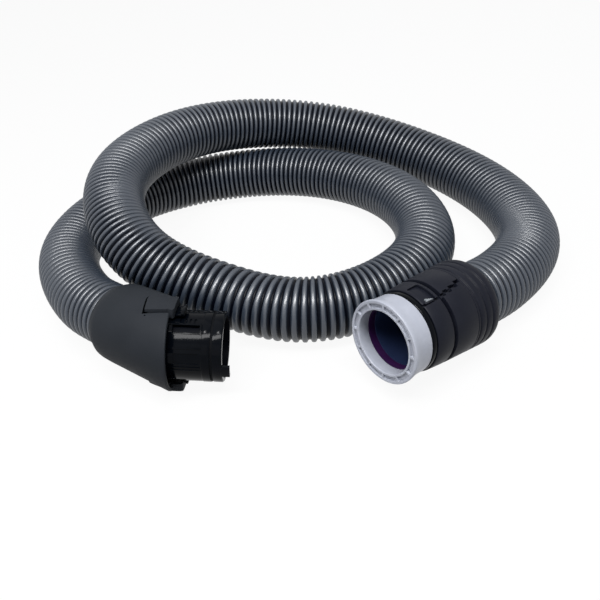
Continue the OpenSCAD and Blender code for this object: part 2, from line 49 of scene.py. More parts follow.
PLACE = Vector((0.0093, 0.0426, 0.0225))
ROUTE = [
    (-0.106, -0.0225, 0.009), (-0.122, -0.008, 0.009), (-0.138, 0.0065, 0.009),
    (-0.154, 0.021, 0.009), (-0.188, 0.090, 0.008), (-0.160, 0.166, 0.009),
    (-0.103, 0.212, 0.0), (-0.037, 0.216, 0.0), (0.025, 0.198, 0.002),
    (0.076, 0.161, 0.001), (0.105, 0.105, 0.002), (0.105, 0.040, 0.0),
    (0.060, -0.006, 0.0), (-0.001, -0.021, 0.001), (-0.055, 0.014, 0.003),
    (-0.112, 0.031, 0.030), (-0.133, 0.077, 0.058), (-0.125, 0.145, 0.058),
    (-0.082, 0.205, 0.054), (-0.015, 0.235, 0.042), (0.060, 0.230, 0.027),
    (0.129, 0.189, 0.008), (0.176, 0.120, 0.0), (0.183, 0.032, 0.0),
    (0.139, -0.0105, 0.001), (0.1215, -0.0225, 0.004), (0.104, -0.0345, 0.007),
    (0.0865, -0.0465, 0.010),
]
HOSE_D = 0.045
HOSE_BORE = 0.037

# ---- camera ----

FOCAL_PX = 634.4
FRAME_PX = 600
SENSOR_MM = 36
CAMERA_TILT = radians(36.9)
CAMERA_ROLL = radians(7.64)
CAMERA_DISTANCE = 9.85 * HOSE_D


def make_camera():
    data = bpy.data.cameras.new("camera")
    data.sensor_width = SENSOR_MM
    data.lens = SENSOR_MM * FOCAL_PX / FRAME_PX
    camera = bpy.data.objects.new("camera", data)
    bpy.context.scene.collection.objects.link(camera)
    ahead = Vector((0, cos(CAMERA_TILT), -sin(CAMERA_TILT)))
    right = Vector((1, 0, 0))
    down = Vector((0, -sin(CAMERA_TILT), -cos(CAMERA_TILT)))
    x_axis = cos(CAMERA_ROLL) * right + sin(CAMERA_ROLL) * down
    y_axis = sin(CAMERA_ROLL) * right - cos(CAMERA_ROLL) * down
    turn = Matrix((x_axis, y_axis, -ahead)).transposed()
    camera.matrix_world = Matrix.Translation(PLACE - ahead * CAMERA_DISTANCE) @ turn.to_4x4()
    bpy.context.scene.camera = camera


# ---- frames of the fittings, in millimetres ----

def fitting_frame(end, inner):
    """X runs out of the hose's end, Z is up."""
    ahead = (Vector(end) - Vector(inner)).normalized()
    side = Vector((0, 0, 1)).cross(ahead).normalized()
    turn = Matrix((ahead, side, ahead.cross(side))).transposed()
    return Matrix.Translation(PLACE + Vector(end)) @ turn.to_4x4() @ Matrix.Scale(MM, 4)


ELBOW_REACH = 26
ELBOW_TURN = radians(36)
SPIGOT_DIP = radians(8)
BUTTON_ROLL = radians(8)
CATCH_TURN = radians(8)

INLET = fitting_frame(ROUTE[0], ROUTE[1])
HANDLE = fitting_frame(ROUTE[-1], ROUTE[-2])
SPIGOT = (INLET @ Matrix.Translation((ELBOW_REACH, 0, 0))
          @ Matrix.Rotation(ELBOW_TURN, 4, "Z") @ Matrix.Rotation(SPIGOT_DIP, 4, "Y"))


def rolled(base, angle):
    return base @ Matrix.Rotation(angle, 4, "X")


# ---- mesh tools ----

def new_object(name, bm):
    mesh = bpy.data.meshes.new(name)
    bm.to_mesh(mesh)
    bm.free()
    made = bpy.data.objects.new(name, mesh)
    bpy.context.scene.collection.objects.link(made)
    return made


def from_points(name, points, faces, place):
    bm = bmesh.new()
    corners = [bm.verts.new(place @ Vector(p)) for p in points]
    for face in faces:
        bm.faces.new([corners[i] for i in face])
    bmesh.ops.remove_doubles(bm, verts=bm.verts, dist=SAME)
    bmesh.ops.recalc_face_normals(bm, faces=bm.faces)
    return new_object(name, bm)


def ring_points(x, radius):
    return [(x, radius * cos(2 * pi * k / ROUND), radius * sin(2 * pi * k / ROUND))
            for k in range(ROUND)]


def lathe(name, place, profile):
    """A closed outline of (x, radius) turned about X."""
    points = [p for x, radius in profile for p in ring_points(x, radius)]
    faces = []
    for i in range(len(profile)):
        here, there = i * ROUND, (i + 1) % len(profile) * ROUND
        for k in range(ROUND):
            n = (k + 1) % ROUND
            faces.append((here + k, here + n, there + n, there + k))
    return from_points(name, points, faces, place)


def rod(name, place, start, end, radius):
    return lathe(name, place, [(start, 0), (end, 0), (end, radius), (start, radius)])


def ball(name, place, centre, radius):
    bm = bmesh.new()
    bmesh.ops.create_icosphere(bm, subdivisions=5, radius=radius)
    bm.transform(place @ Matrix.Translation(centre))
    return new_object(name, bm)


def hull(name, circles):
    """The smallest convex solid round circles given as (place, x, radius)."""
    bm = bmesh.new()
    for place, x, radius in circles:
        for p in ring_points(x, radius):
            bm.verts.new(place @ Vector(p))
    made = bmesh.ops.convex_hull(bm, input=bm.verts)
    spare = [v for v in made["geom_interior"] if isinstance(v, bmesh.types.BMVert)]
    bmesh.ops.delete(bm, geom=spare, context="VERTS")
    bmesh.ops.recalc_face_normals(bm, faces=bm.faces)
    return new_object(name, bm)


def block(name, place, low, high, corner=0.0):
    """A box; with corner, its edges along Z are rounded by that radius."""
    bm = bmesh.new()
    bmesh.ops.create_cube(bm, size=1)
    middle = (Vector(low) + Vector(high)) / 2
    size = Vector(high) - Vector(low)
    for v in bm.verts:
        v.co = Vector(v.co[i] * size[i] + middle[i] for i in range(3))
    if corner:
        upright = [e for e in bm.edges
                   if abs(e.verts[0].co.z - e.verts[1].co.z) > size.z / 2]
        bmesh.ops.bevel(bm, geom=upright, offset=corner, segments=8, affect="EDGES", profile=0.5)
    bm.transform(place)
    bmesh.ops.recalc_face_normals(bm, faces=bm.faces)
    return new_object(name, bm)


def wedge(name, place, start, end, middle, span, low, high, steps=16):
    """A sector of a ring between two radii. Angles are in degrees from up, towards -Y."""
    points, faces = [], []
    for i in range(steps + 1):
        a = radians(middle - span / 2 + span * i / steps)
        for x in (start, end):
            for radius in (low, high):
                points.append((x, -radius * sin(a), radius * cos(a)))
    for i in range(steps):
        p, q = 4 * i, 4 * i + 4
        faces += [(p, p + 1, q + 1, q), (p + 2, q + 2, q + 3, p + 3),
                  (p, q, q + 2, p + 2), (p + 1, p + 3, q + 3, q + 1)]
    last = 4 * steps
    faces += [(0, 2, 3, 1), (last, last + 1, last + 3, last + 2)]
    return from_points(name, points, faces, place)


def settle(made):
    """Turns what the modifiers show into the object's own mesh."""
    graph = bpy.context.evaluated_depsgraph_get()
    mesh = bpy.data.meshes.new_from_object(made.evaluated_get(graph))
    made.modifiers.clear()
    old = made.data
    made.data = mesh
    bpy.data.meshes.remove(old)


def combine(made, others, operation="DIFFERENCE"):
    for other in others:
        step = made.modifiers.new("combine", "BOOLEAN")
        step.operation = operation
        step.solver = "EXACT"
        step.object = other
    settle(made)
    for other in others:
        bpy.data.objects.remove(other)
    return made


def soften(made, width, angle=32, segments=2):
    step = made.modifiers.new("soften", "BEVEL")
    step.width = width * MM
    step.segments = segments
    step.limit_method = "ANGLE"
    step.angle_limit = radians(angle)
    step.use_clamp_overlap = True
    settle(made)
    return made


def smooth(made, angle=32):
    mesh = made.data
    mesh.polygons.foreach_set("use_smooth", [True] * len(mesh.polygons))
    mesh.set_sharp_from_angle(angle=radians(angle))
    return made


def finish_piece(made, body, slot, material, *nodes):
    smooth(made)
    made.data.materials.clear()
    made.data.materials.append(material)
    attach(made, body)
    if nodes:
        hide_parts(*nodes)
    return made


# ---- shader tools ----

class Value:
    """A socket that can be used in Python expressions."""

    def __init__(self, paint, socket):
        self.paint = paint
        self.socket = socket

    def calc(self, operation, *others):
        return self.paint.node("ShaderNodeMath", {"operation": operation},
                               {i: v for i, v in enumerate((self,) + others)})

    def __add__(self, other):
        return self.calc("ADD", other)

    __radd__ = __add__

    def __mul__(self, other):
        return self.calc("MULTIPLY", other)

    __rmul__ = __mul__


class Paint:
    """The nodes of a material or a world, with one method that adds them."""

    def __init__(self, owner, output="ShaderNodeOutputMaterial"):
        owner.use_nodes = True
        self.owner = owner
        self.tree = owner.node_tree
        self.tree.nodes.clear()
        self.output = self.tree.nodes.new(output)

    def node(self, kind, settings=None, inputs=None, out=0):
        made = self.tree.nodes.new(kind)
        for key, value in (settings or {}).items():
            setattr(made, key, value)
        for key, value in (inputs or {}).items():
            socket = made.inputs[key]
            if isinstance(value, Value):
                self.tree.links.new(value.socket, socket)
            else:
                socket.default_value = value
        return Value(self, made.outputs[out])

    def noise(self, scale, detail=3):
        return self.node("ShaderNodeTexNoise", inputs={
            "Scale": scale, "Detail": detail, "Roughness": 0.55,
            "Vector": self.node("ShaderNodeTexCoord", out="Object")})

    def mix(self, share, first, second):
        return self.node("ShaderNodeMix", {"data_type": "RGBA"},
                         {"Factor": share, 6: first, 7: second}, out=2)

    def between(self, value, low, high, to_low=0.0, to_high=1.0):
        return self.node("ShaderNodeMapRange", {"interpolation_type": "SMOOTHSTEP"},
                         {"Value": value, "From Min": low, "From Max": high,
                          "To Min": to_low, "To Max": to_high})

    def bump(self, height, strength, distance):
        return self.node("ShaderNodeBump", inputs={
            "Height": height, "Strength": strength, "Distance": distance}, out="Normal")

    def shader(self, **inputs):
        return self.node("ShaderNodeBsdfPrincipled", inputs={
            key.replace("_", " "): value for key, value in inputs.items()})

    def blend(self, share, first, second):
        return self.node("ShaderNodeMixShader", inputs={0: share, 1: first, 2: second})

    def seen(self):
        """1 for rays that see the studio itself, 0 for those that carry its light."""
        camera, glossy, through = (
            self.node("ShaderNodeLightPath", out=f"Is {kind} Ray")
            for kind in ("Camera", "Glossy", "Transmission"))
        return camera + glossy + through

    def show(self, shader):
        self.tree.links.new(shader.socket, self.output.inputs["Surface"])
        return self.owner


def material_paint(name):
    return Paint(bpy.data.materials.new(name))


def rgba(red, green, blue):
    return (red, green, blue, 1)


def hose_material():
    """Ribbed plastic: satin crests, and valleys coloured nearly black with almost no shine as
    painted shade.
    """
    paint = material_paint("hose plastic with painted valley shade")
    rib = paint.node("ShaderNodeAttribute", {"attribute_name": "rib"}, out="Fac")
    cloud = paint.noise(60)
    scuff = paint.noise(900, 4)
    tint = paint.mix(cloud, rgba(0.0122, 0.0172, 0.0262), rgba(0.0152, 0.0208, 0.0308))
    crest = paint.shader(Base_Color=tint, Roughness=paint.between(scuff, 0.3, 0.7, 0.35, 0.41),
                         Specular_IOR_Level=0.8, Normal=paint.bump(scuff, 0.012, 0.0002))
    # painted shade: the valleys are coloured nearly black and given almost no shine, for the shade
    # that falls between the ribs
    painted_shade_valley = paint.shader(Base_Color=rgba(0.0006, 0.0010, 0.0026), Roughness=0.3,
                          Specular_IOR_Level=0.05)
    return paint.show(paint.blend(paint.between(rib, 0.10, 0.50), painted_shade_valley, crest))


def moulded(name, color, worn, rough, grain, depth, shine):
    """Moulded plastic: fine grain, faint clouding and slightly uneven gloss."""
    paint = material_paint(name)
    cloud = paint.noise(45, 4)
    fine = paint.noise(grain, 3)
    tint = paint.mix(paint.between(cloud, 0.35, 0.7), color, worn)
    gloss = paint.between(cloud + fine * 0.5, 0.5, 1.0, rough * 0.9, rough * 1.12)
    return paint.show(paint.shader(Base_Color=tint, Roughness=gloss, Specular_IOR_Level=shine,
                                   Normal=paint.bump(fine, 0.25, depth)))


def metal(name, color, rough):
    """Drawn wire or pin."""
    paint = material_paint(name)
    drawn = paint.noise(2500, 2)
    tint = paint.mix(drawn, color, tuple(c * 0.8 for c in color[:3]) + (1,))
    return paint.show(paint.shader(Base_Color=tint, Metallic=1.0,
                                   Roughness=paint.between(drawn, 0.3, 0.7, rough, rough * 1.4)))


# ---- hose ----

SIDES = 48
# depth of a valley below the crests, in metres, and how far down each part of a rib lies
VALLEY = 0.0021
RIB_PROFILE = [(0.0, 0.0), (0.11, 0.03), (0.20, 0.12), (0.26, 0.30), (0.30, 0.56), (0.335, 0.80),
               (0.50, 1.0), (0.665, 0.80), (0.70, 0.56), (0.74, 0.30), (0.80, 0.12), (0.89, 0.03)]
# how far apart the ribs stand at a length along the hose, drawn out here and pushed together
# there, in millimetres
RIB_GAPS = [
    (0, 5.3), (38, 5.0), (52, 4.2), (66, 4.9), (90, 5.4), (115, 5.0), (160, 4.5), (200, 4.8),
    (240, 5.2), (290, 5.35), (340, 5.0), (380, 4.85), (420, 4.9), (480, 5.3), (520, 5.4),
    (560, 5.05), (605, 4.4), (635, 4.45), (670, 4.8), (712, 5.0), (735, 5.9), (755, 6.9),
    (775, 7.3), (795, 6.3), (815, 5.3), (840, 4.1), (870, 3.4), (890, 3.15), (908, 3.8),
    (930, 4.8), (960, 5.3), (990, 5.3), (1040, 5.1), (1080, 5.0), (1160, 5.05), (1240, 5.15),
    (1300, 5.1), (1340, 4.8), (1380, 4.5), (1415, 4.1), (1450, 3.5), (1470, 4.1), (1490, 4.7),
    (1510, 5.2), (1546, 5.2),
]
# rib spacing, in metres, at which the ribs touch, and from which the valleys are at full depth
CLOSED_AT = 0.0027
OPEN_AT = 0.0044
BORE_RINGS = 320
CURVE_STEPS = 6000


def route_curve():
    """The centre line: a cubic B-spline that starts and ends on the route's end points."""
    p = np.array(ROUTE)
    ext = np.vstack([2 * p[0] - p[1], p, 2 * p[-1] - p[-2]])
    spans = len(p) - 1
    u = np.linspace(0, spans, CURVE_STEPS)
    k = np.minimum(u.astype(int), spans - 1)
    t = (u - k)[:, None]
    points = ((1 - t) ** 3 * ext[k] + (3 * t ** 3 - 6 * t ** 2 + 4) * ext[k + 1]
              + (-3 * t ** 3 + 3 * t ** 2 + 3 * t + 1) * ext[k + 2] + t ** 3 * ext[k + 3]) / 6
    points += np.array(PLACE)
    steps = np.linalg.norm(np.diff(points, axis=0), axis=1)
    return points, np.concatenate([[0], np.cumsum(steps)])


CURVE, ARC = route_curve()
HOSE_LENGTH = float(ARC[-1])


def on_curve(s):
    """Points of the centre line at arc lengths."""
    return np.stack([np.interp(s, ARC, CURVE[:, i]) for i in range(3)], axis=-1)


def outward(ahead, angle):
    """Unit vectors that point away from the centre line at angles round it."""
    ahead = ahead / np.linalg.norm(ahead, axis=-1, keepdims=True)
    side = np.cross(ahead, [0, 0, 1])
    side /= np.linalg.norm(side, axis=-1, keepdims=True)
    turn = angle[..., None]
    return np.cos(turn) * side + np.sin(turn) * np.cross(side, ahead)


def tube_points(s, angle, radius):
    """Points round the centre line, at arc lengths, angles and radii of one shape."""
    small = 0.0005
    inner = np.clip(s, small, HOSE_LENGTH - small)
    ahead = on_curve(inner + small) - on_curve(inner - small)
    return on_curve(s) + radius[..., None] * outward(ahead, angle)


def rib_gap(s):
    """The distance between ribs at an arc length."""
    places, gaps = np.array(RIB_GAPS).T * MM
    return np.interp(s, places, gaps)


def rib_count():
    """The number of ribs from the hose's start up to each arc length."""
    s = np.linspace(0, HOSE_LENGTH, CURVE_STEPS)
    rate = 1 / rib_gap(s)
    return s, np.concatenate([[0], np.cumsum(np.diff(s) * (rate[1:] + rate[:-1]) / 2)])


def openness(s, angle):
    """From 0 where the ribs close up, as inside a tight bend, to 1 where they stand apart."""
    reach = 0.004
    inner = np.clip(s, reach, HOSE_LENGTH - reach)
    back, here, front = on_curve(inner - reach), on_curve(inner), on_curve(inner + reach)
    bend = (front - 2 * here + back) / reach ** 2
    gap = rib_gap(s) * (1 - HOSE_D / 2 * (bend * outward(front - back, angle)).sum(-1))
    share = np.clip((gap - CLOSED_AT) / (OPEN_AT - CLOSED_AT), 0, 1)
    return share * share * (3 - 2 * share)


def around(shape):
    """The angle of each corner round the hose, for an array whose columns go round it."""
    return np.broadcast_to(2 * pi * np.arange(SIDES) / SIDES, shape)


def hose_piece(material):
    """The hose's skin: a rib that winds along the centre line, and a plain bore."""
    step = len(RIB_PROFILE)
    place, drop = np.array(RIB_PROFILE).T
    along, count = rib_count()
    rows = (int(count[-1]) + 3) * step
    row = np.arange(rows)
    turns = ((row // step) - 1 + place[row % step])[:, None]
    turns = turns + np.arange(SIDES)[None] / SIDES
    s = np.interp(turns, count, along)
    inside = (turns > 0) & (turns < count[-1])
    sunk = np.broadcast_to(drop[row % step][:, None], s.shape)
    angle = around(s.shape)
    sunk = np.where(inside, sunk * (0.15 + 0.85 * openness(s, angle)), 1.0)
    outer = tube_points(s, angle, HOSE_D / 2 - VALLEY * sunk).reshape(-1, 3)
    bore_s = np.linspace(0, HOSE_LENGTH, BORE_RINGS)[:, None] + np.zeros((1, SIDES))
    bore = tube_points(bore_s, around(bore_s.shape), np.full(bore_s.shape, HOSE_BORE / 2))
    faces = []
    for i in range(rows - 1):
        for k in range(SIDES - 1):
            a = i * SIDES + k
            faces.append((a, a + 1, a + SIDES + 1, a + SIDES))
        a, b = i * SIDES + SIDES - 1, (i + step) * SIDES
        if i + 1 + step < rows:
            faces.append((a, b, b + SIDES, a + SIDES))
    base = len(outer)
    for i in range(BORE_RINGS - 1):
        for k in range(SIDES):
            n = (k + 1) % SIDES
            a = base + i * SIDES
            faces.append((a + k, a + SIDES + k, a + SIDES + n, a + n))
    last, end = (rows - 1) * SIDES, base + (BORE_RINGS - 1) * SIDES
    for k in range(SIDES):
        n = (k + 1) % SIDES
        faces.append((k, base + k, base + n, n))
        faces.append((last + k, last + n, end + n, end + k))
    mesh = bpy.data.meshes.new("ribbed_hose")
    mesh.from_pydata(np.vstack([outer, bore.reshape(-1, 3)]).tolist(), [], faces)
    # the rib attribute is 1 on the crests and 0 in the valleys; the hose material paints shade into
    # the valleys from it
    crest = mesh.attributes.new("rib", "FLOAT", "POINT")
    crest.data.foreach_set("value", np.concatenate([(1 - sunk).ravel(), np.zeros(bore_s.size)]))
    bm = bmesh.new()
    bm.from_mesh(mesh)
    bmesh.ops.remove_doubles(bm, verts=bm.verts, dist=SAME)
    bmesh.ops.dissolve_degenerate(bm, edges=bm.edges, dist=1e-8)
    bmesh.ops.recalc_face_normals(bm, faces=bm.faces)
    bm.to_mesh(mesh)
    bm.free()
    made = bpy.data.objects.new("ribbed_hose", mesh)
    bpy.context.scene.collection.objects.link(made)
    smooth(made, 60)
    mesh.materials.append(material)
    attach(made, "hose_line")
    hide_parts("hose")
    return made


# ---- machine connector ----

# lengths along a fitting's X and radii, in millimetres; the same seats are in both fittings
SLEEVE_R = 23.1
SLEEVE_END = -20.35
BUSH_BACK = -18.95
BUSH_R = 25.5
CLIP_FRONT = -6.65
FRONT_BORE = 24.0
RIM_R = 29.8
RIM_BORE = 27.8
SPIGOT_R = 22.8
SKIN_R = 24.9
DUCT_R = 20.0
SPIGOT_LENGTH = 36.4
CAGE_BACK = -5
SHOULDER = [(-24.95, 23.9), (-24.6, 24.2), (-23.6, 24.7), (-22.2, 25.3), (-20.4, 26.1),
            (-18.4, 26.95), (-16.0, 27.25), (-9.0, 27.3)]
RIM_AT = 3.6
CAGE_R = 22.6
BUTTON_HALF = 11.2
BUTTON_FRONT = 6.4
BUTTON_BACK = -13.0
BUTTON_GAP = 1.4
NEAR_GAP = 2.0
HOOD_R = 30.9
SPRING_AT = 3.6
# the upper button's cap is narrower on its near side, and its edge there is slanted
CAP_NEAR = 7.8
CAP_SLANT = radians(15)
DISH_R = 26.6


def connector_skin(name, proud=0.0):
    """The connector's outer form, or one that stands proud of it but for its shoulder."""
    circles = [(INLET, x, r + (proud if x > -17 else 0)) for x, r in SHOULDER]
    circles += [(SPIGOT, RIM_AT - 1.5, RIM_R + proud), (SPIGOT, RIM_AT - 0.4, RIM_R + proud),
                (SPIGOT, RIM_AT, RIM_R - 0.4 + proud)]
    return hull(name, circles)


def near_side(place, room):
    """What lies outside the upper cap's slanted near edge, from the room given."""
    edge = (place @ Matrix.Translation((BUTTON_FRONT, -CAP_NEAR, 0))
            @ Matrix.Rotation(-CAP_SLANT, 4, "Z"))
    return block("near side", edge, (-60, -40, 0), (40, -room, 60))


def shroud(material):
    made = connector_skin("shroud")
    hollow = hull("hollow", [(INLET, -8, FRONT_BORE), (INLET, 1.5, FRONT_BORE),
                             (SPIGOT, RIM_AT - 1.5, RIM_BORE), (SPIGOT, RIM_AT + 1.5, RIM_BORE)])
    socket = lathe("socket", INLET, [(-30, 0), (-30, SLEEVE_R), (SLEEVE_END, SLEEVE_R),
                                     (SLEEVE_END, FRONT_BORE), (BUSH_BACK, FRONT_BORE),
                                     (BUSH_BACK, BUSH_R), (CLIP_FRONT, BUSH_R), (CLIP_FRONT, 0)])
    combine(made, [hollow, socket])
    windows = [block("window", rolled(SPIGOT, side - BUTTON_ROLL),
                     (BUTTON_BACK - BUTTON_GAP, -near - NEAR_GAP, 21.6),
                     (12, BUTTON_HALF + BUTTON_GAP, 40), 4.5)
               for side, near in ((0, CAP_NEAR), (pi, BUTTON_HALF))]
    combine(windows[0], [near_side(rolled(SPIGOT, -BUTTON_ROLL), NEAR_GAP)])
    combine(made, windows)
    soften(made, 0.45)
    return finish_piece(made, "connector", "shell_plastic", material,
                        "shell_upper", "shell_lower")


def spring_room(place, top):
    upright = place @ Matrix.Translation((SPRING_AT, 0, 0)) @ Matrix.Rotation(-pi / 2, 4, "Y")
    return rod("spring room", upright, 20, top, 2.8)


def release_button(name, node, body, side, near, front, material, arm_material):
    """A dished cap with a hood at its front, and the arm with its barb in a material of its own."""
    place = rolled(SPIGOT, side - BUTTON_ROLL)
    made = block(name, place, (BUTTON_BACK, -near, SPIGOT_R), (RIM_AT - 1, BUTTON_HALF, 36), 3.6)
    combine(made, [connector_skin("skin", 0.8)], "INTERSECT")
    hood = block("hood", place, (RIM_AT - 8, -near, SPIGOT_R + 0.5), (front, BUTTON_HALF, 35), 2.4)
    combine(hood, [rod("round", SPIGOT, RIM_AT - 1.6, 20, HOOD_R)], "INTERSECT")
    # this block is in metres: it keeps the hood off the floor
    combine(hood, [block("above the floor", Matrix(), (-1, -1, 0.0001), (1, 1, 1))], "INTERSECT")
    combine(made, [hood], "UNION")
    under = rod("under", SPIGOT, -40, 20, SKIN_R)
    dish = ball("dish", place, (-3.5, (BUTTON_HALF - near) / 2, 30 + DISH_R), DISH_R)
    combine(made, [under, dish, spring_room(place, SKIN_R + 1.3)])
    if near == CAP_NEAR:
        combine(made, [near_side(place, 0.0)])
    soften(made, 0.7, 40, 3)
    # the arm and barb get their own material, black and darker than the cap
    arm = wedge(name + "_arm", place, BUTTON_FRONT - 1.5, 12.2, 0, 26, SKIN_R, SKIN_R + 1.2)
    barb = wedge("barb", place, 10.2, 11.9, 0, 26, SKIN_R + 0.5, SKIN_R + 2.2)
    combine(arm, [barb], "UNION")
    combine(arm, [spring_room(place, 40)])
    soften(arm, 0.25)
    finish_piece(arm, body, "gloss_black", arm_material)
    return finish_piece(made, body, "shell_plastic", material, node)


BAND_START = 23.6
GROOVE = (28.8, 30.4)
WINDOW = (5.4, 22.2)
RAILS = (23.6, 38.6, 62)
RIDGES = (94, 100)
SLOTS = (9.5, 12.5, 15.5, 18.5)


def cage(material):
    """The slotted spigot with its key; everything but the key is there twice, half a turn apart."""
    made = lathe("slotted_spigot", SPIGOT, [
        (CAGE_BACK, 21.3), (CAGE_BACK, CAGE_R), (BAND_START, CAGE_R), (BAND_START + 0.3, SPIGOT_R),
        (GROOVE[0], SPIGOT_R), (GROOVE[0], 21.4), (GROOVE[1], 21.4), (GROOVE[1], CAGE_R + 0.1),
        (SPIGOT_LENGTH - 0.8, CAGE_R + 0.1), (SPIGOT_LENGTH, CAGE_R - 0.6),
        (SPIGOT_LENGTH, DUCT_R), (BAND_START, DUCT_R), (BAND_START, 21.3)])
    adds = [wedge("key", SPIGOT, SPIGOT_LENGTH - 1, 41.2, 94, 22, DUCT_R + 0.1, CAGE_R - 0.1)]
    for half in (0, pi):
        turn = rolled(SPIGOT, half - BUTTON_ROLL)
        for phi in RAILS:
            adds.append(wedge("rail", turn, 3, 23.0, phi, 2.4, CAGE_R - 0.5, CAGE_R + 0.45, 2))
        for phi in RIDGES:
            adds.append(wedge("ridge", turn, 3, 23.0, phi, 1.8, CAGE_R - 0.5, CAGE_R + 0.35, 2))
        adds.append(wedge("step", turn, 21.5, 23.2, 31, 18, CAGE_R - 0.5, CAGE_R + 0.45))
    combine(made, adds, "UNION")
    cuts = []
    for half in (0, pi):
        turn = rolled(SPIGOT, half - BUTTON_ROLL)
        for side in (-1, 1):
            cuts.append(wedge("window", turn, *WINDOW, side * 31, 13, 20.4, 24))
            for x in SLOTS:
                cuts.append(wedge("slot", turn, x, x + 1.2, side * 16, 9, 21.8, 24, 4))
        cuts.append(wedge("panel", turn, 7, 22, 79, 17, CAGE_R - 0.5, 24))
    elbow = rod("elbow", INLET, 0, ELBOW_REACH, DUCT_R)
    combine(made, cuts + [elbow])
    soften(made, 0.22)
    return finish_piece(made, "connector", "gloss_black", material, "spigot_cage")


# ---- handle collar ----

def grooved(points, grooves, depth, width):
    """An outline with small round grooves cut into it."""
    out = []
    for (x0, r0), (x1, r1) in zip(points, points[1:]):
        out.append((x0, r0))
        for centre in grooves:
            if x0 < centre < x1:
                radius = r0 + (r1 - r0) * (centre - x0) / (x1 - x0)
                for share in (-1, -0.6, 0, 0.6, 1):
                    out.append((centre + share * width / 2,
                                radius - depth * sqrt(max(0, 1 - share * share))))
    out.append(points[-1])
    return out


def grip_cuff(material):
    outer = [(-24.0, 25.0), (-23.6, 26.2), (-22.6, 27.6), (-21.2, 28.6), (-19.4, 29.1),
             (-17.5, 29.2), (-1.9, 28.5)]
    profile = grooved(outer, [-15.2, -9.6, -4.0], 0.9, 1.6)
    inner = [(-1.9, FRONT_BORE), (CLIP_FRONT, FRONT_BORE), (CLIP_FRONT, BUSH_R),
             (BUSH_BACK, BUSH_R), (BUSH_BACK, FRONT_BORE), (SLEEVE_END, FRONT_BORE),
             (SLEEVE_END, SLEEVE_R), (-24.0, SLEEVE_R)]
    made = soften(lathe("grip_cuff_skin", HANDLE, profile + inner), 0.3)
    return finish_piece(made, "handle_end", "grip_plastic", material, "grip_cuff")


# the steps of the joint between the collar's shells: front and back end, and angle in degrees
PARTING = [(16.6, 13.8, 24.5), (13.8, 11, 22), (11, 8.2, 23.5), (8.2, 5.2, 20),
           (5.2, 2.2, 21), (2.2, -1.9, 17)]


def collar_skin(material):
    made = lathe("collar_skin", HANDLE, [
        (-1.7, 24.0), (-1.7, 28.45), (16.4, 27.6), (16.4, 22.5), (1.85, 22.5), (1.85, 24.0)])
    cuts = []
    for half in (0, 180):
        for x0, x1, middle in PARTING:
            cuts.append(wedge("parting", rolled(HANDLE, radians(-half)), x1 - 0.4, x0 + 0.4,
                              -middle, 4.8, 25.4, 30, 2))
    combine(made, cuts)
    soften(made, 0.25)
    return finish_piece(made, "handle_end", "grip_plastic", material,
                        "collar_left", "collar_right")


def neck_ring(material):
    made = lathe("front_ring_skin", HANDLE, [
        (16.4, 22.5), (16.4, 24.6), (19.0, 24.6), (19.0, 27.0), (19.8, 27.4), (31.4, 26.5),
        (32.0, 26.2), (32.0, 22.5)])
    place = rolled(HANDLE, -CATCH_TURN)
    window = block("catch window", place, (21.2, -7.9, 15), (30.0, 7.9, 40), 1.2)
    seam = wedge("seam", HANDLE, 18, 32.5, -25.4, 3.4, 25.0, 30, 2)
    combine(made, [window, seam])
    soften(made, 0.25)
    return finish_piece(made, "handle_end", "grip_plastic", material, "front_ring")


def lip_ring(material):
    made = lathe("lip_ring_skin", HANDLE, [(32.0, 22.5), (32.0, 25.7), (35.4, 25.7),
                                           (36.0, 25.1), (36.0, 22.5)])
    soften(made, 0.2)
    return finish_piece(made, "handle_end", "gloss_black", material, "lip_ring")


FACE_X = 51.2
POCKETS = 12


def bearing_ring(material):
    outer = [(36.0, 22.5), (36.0, 25.0), (36.5, 25.4), (43.0, 25.5), (45.5, 25.75), (48.0, 26.3),
             (49.4, 26.6), (50.8, 26.6), (51.2, 26.2)]
    inner = [(FACE_X, 20.6), (FACE_X - 0.4, 20.3), (FACE_X - 8, 20.3), (FACE_X - 8, 22.5)]
    made = lathe("bearing_ring_skin", HANDLE, outer + inner)
    pitch = 360 / POCKETS
    cuts = [wedge("pocket", HANDLE, FACE_X - 1.4, FACE_X + 1, -(24.5 + pitch * (i + 0.5)),
                  pitch - 3.2, 21.8, 24.6) for i in range(POCKETS)]
    combine(made, cuts)
    soften(made, 0.3)
    return finish_piece(made, "handle_end", "white_plastic", material, "bearing_ring")


# corners of the light mark on the catch, as X and Y
FLAG = [(22.4, 6.9), (28.4, 6.9), (28.0, 4.4)]


def catch_piece(material, flag_material):
    place = rolled(HANDLE, -CATCH_TURN)
    made = block("catch_skin", place, (21.6, -7.5, 24.1), (29.6, 7.5, 40), 1.0)
    keep = rod("keep", HANDLE, 15, 35, 25.9)
    combine(made, [keep], "INTERSECT")
    soften(made, 0.3)
    flag = from_points("catch_flag", [(x, y, z) for z in (24.6, 26.2) for x, y in FLAG],
                       [(0, 2, 1), (3, 4, 5), (0, 1, 4, 3), (1, 2, 5, 4), (2, 0, 3, 5)], place)
    soften(flag, 0.2)
    finish_piece(flag, "handle_catch", "light_grey_plastic", flag_material)
    return finish_piece(made, "handle_catch", "grip_plastic", material, "catch")


# ---- studio ----

def floor():
    """A floor that is white where it is seen, but for a share that takes the shadow."""
    bm = bmesh.new()
    bmesh.ops.create_grid(bm, x_segments=1, y_segments=1, size=4)
    made = new_object("floor", bm)
    made.location.z = -0.0002
    paint = material_paint("floor")
    matt = paint.node("ShaderNodeBsdfDiffuse", inputs={"Color": rgba(0.45, 0.45, 0.45)})
    white = paint.node("ShaderNodeEmission", inputs={"Color": rgba(1, 1, 1), "Strength": 1.0})
    made.data.materials.append(paint.show(paint.blend(paint.seen() * 0.93, matt, white)))


